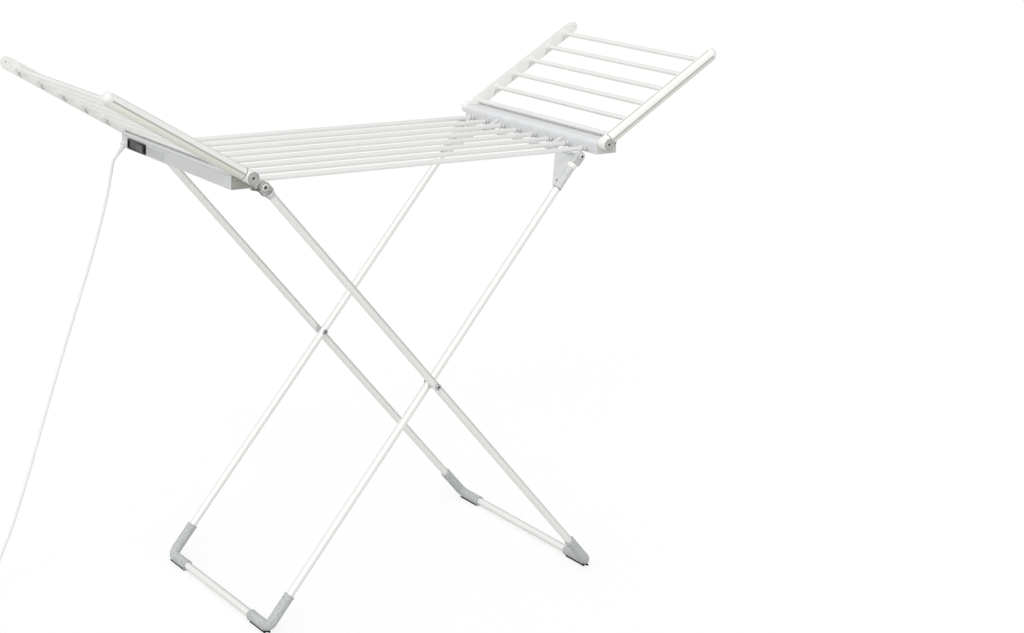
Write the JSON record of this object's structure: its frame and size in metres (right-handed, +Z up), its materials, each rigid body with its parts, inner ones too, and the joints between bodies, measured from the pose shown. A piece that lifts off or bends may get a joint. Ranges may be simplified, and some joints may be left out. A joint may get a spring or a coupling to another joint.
{
  "type": "heated clothes airer",
  "caption": "Folding clothes airer with heated rails: a level rack on crossed legs, two wings that fold in over it, and a mains cord.",
  "frame": {"origin": "centre of the airer's footprint on the floor", "axes": "+X towards the wing without the switch, +Z up, +Y across the airer towards the cord's exit"},
  "size_m": [1.701, 0.5206, 1.0977],
  "materials": {
    "light_plastic": "satin",
    "grey_plastic": "matte",
    "knob_plastic": "matte",
    "rail_aluminium": "satin",
    "leg_aluminium": "satin",
    "pin_steel": "satin",
    "dark_plastic": "gloss",
    "foot_rubber": "matte",
    "plate_foil": "satin",
    "heater_wire": "matte",
    "white_plastic": "satin",
    "cord_pvc": "satin",
    "plug_brass": "satin"
  },
  "bodies": {
    "rack": {"power_housing": "light_plastic", "housing_cover": "light_plastic", "end_cap": "light_plastic", "end_cap_cover": "light_plastic", "rack_rail_1": "rail_aluminium", "rack_rail_2": "rail_aluminium", "rack_rail_3": "rail_aluminium", "rack_rail_4": "rail_aluminium", "rack_rail_5": "rail_aluminium", "rack_rail_6": "rail_aluminium", "rack_rail_7": "rail_aluminium", "rack_rail_8": "rail_aluminium", "rack_ferrules": "light_plastic", "rack_heaters": "heater_wire", "hinge_lugs": "light_plastic", "lug_studs": "dark_plastic", "clip_hooks": "light_plastic", "wing_hinge_pins": "pin_steel", "wing_stops": "light_plastic", "switch_frame": "dark_plastic", "rating_plate": "plate_foil", "strain_relief": "white_plastic", "terminal_block": "white_plastic", "bus_wires": "heater_wire", "mains_cord": "cord_pvc", "cord_coil": "cord_pvc", "plug_body": "white_plastic", "plug_pins": "plug_brass"},
    "switch_rocker": {"switch_rocker": "dark_plastic"},
    "outer_frame": {"outer_leg_near": "leg_aluminium", "outer_leg_far": "leg_aluminium", "outer_floor_bar": "leg_aluminium", "outer_elbow_near": "grey_plastic", "outer_elbow_far": "grey_plastic", "outer_foot_strips": "foot_rubber", "outer_head_near": "grey_plastic", "outer_head_far": "grey_plastic", "outer_cross_rod": "pin_steel", "cross_rivets": "pin_steel", "cross_spacers": "grey_plastic"},
    "inner_frame": {"inner_leg_near": "leg_aluminium", "inner_leg_far": "leg_aluminium", "inner_floor_bar": "leg_aluminium", "inner_elbow_near": "grey_plastic", "inner_elbow_far": "grey_plastic", "inner_foot_strips": "foot_rubber", "inner_head_near": "grey_plastic", "inner_head_far": "grey_plastic", "inner_gussets": "light_plastic", "inner_cross_rod": "pin_steel"},
    "left_wing": {"left_wing_plate_near": "grey_plastic", "left_wing_plate_far": "grey_plastic", "left_wing_rails": "rail_aluminium", "left_wing_heaters": "heater_wire", "left_wing_knobs": "knob_plastic"},
    "right_wing": {"right_wing_plate_near": "grey_plastic", "right_wing_plate_far": "grey_plastic", "right_wing_rails": "rail_aluminium", "right_wing_heaters": "heater_wire", "right_wing_knobs": "knob_plastic"}
  },
  "joints": [
    {"name": "outer_frame_fold", "type": "hinge", "parent": "rack", "child": "outer_frame", "pos_m": [-0.3765, 0, 0.8905], "axis": [0, 1, 0], "range_deg": [0, 40.5]},
    {"name": "inner_frame_fold", "type": "hinge", "parent": "outer_frame", "child": "inner_frame", "pos_m": [0.02, 0, 0.4525], "axis": [0, -1, 0], "range_deg": [0, 81]},
    {"name": "left_wing_fold", "type": "hinge", "parent": "rack", "child": "left_wing", "pos_m": [-0.4125, 0, 0.9145], "axis": [0, 1, 0], "range_deg": [0, 150]},
    {"name": "right_wing_fold", "type": "hinge", "parent": "rack", "child": "right_wing", "pos_m": [0.4125, 0, 0.9145], "axis": [0, -1, 0], "range_deg": [0, 148.5]},
    {"name": "switch_rocker_tilt", "type": "hinge", "parent": "rack", "child": "switch_rocker", "pos_m": [-0.4455, 0.165, 0.9044], "axis": [0, 0, 1], "range_deg": [0, 10]}
  ],
  "couplings": [
    {"joint": "inner_frame_fold", "follows": "outer_frame_fold", "ratio": 2}
  ]
}
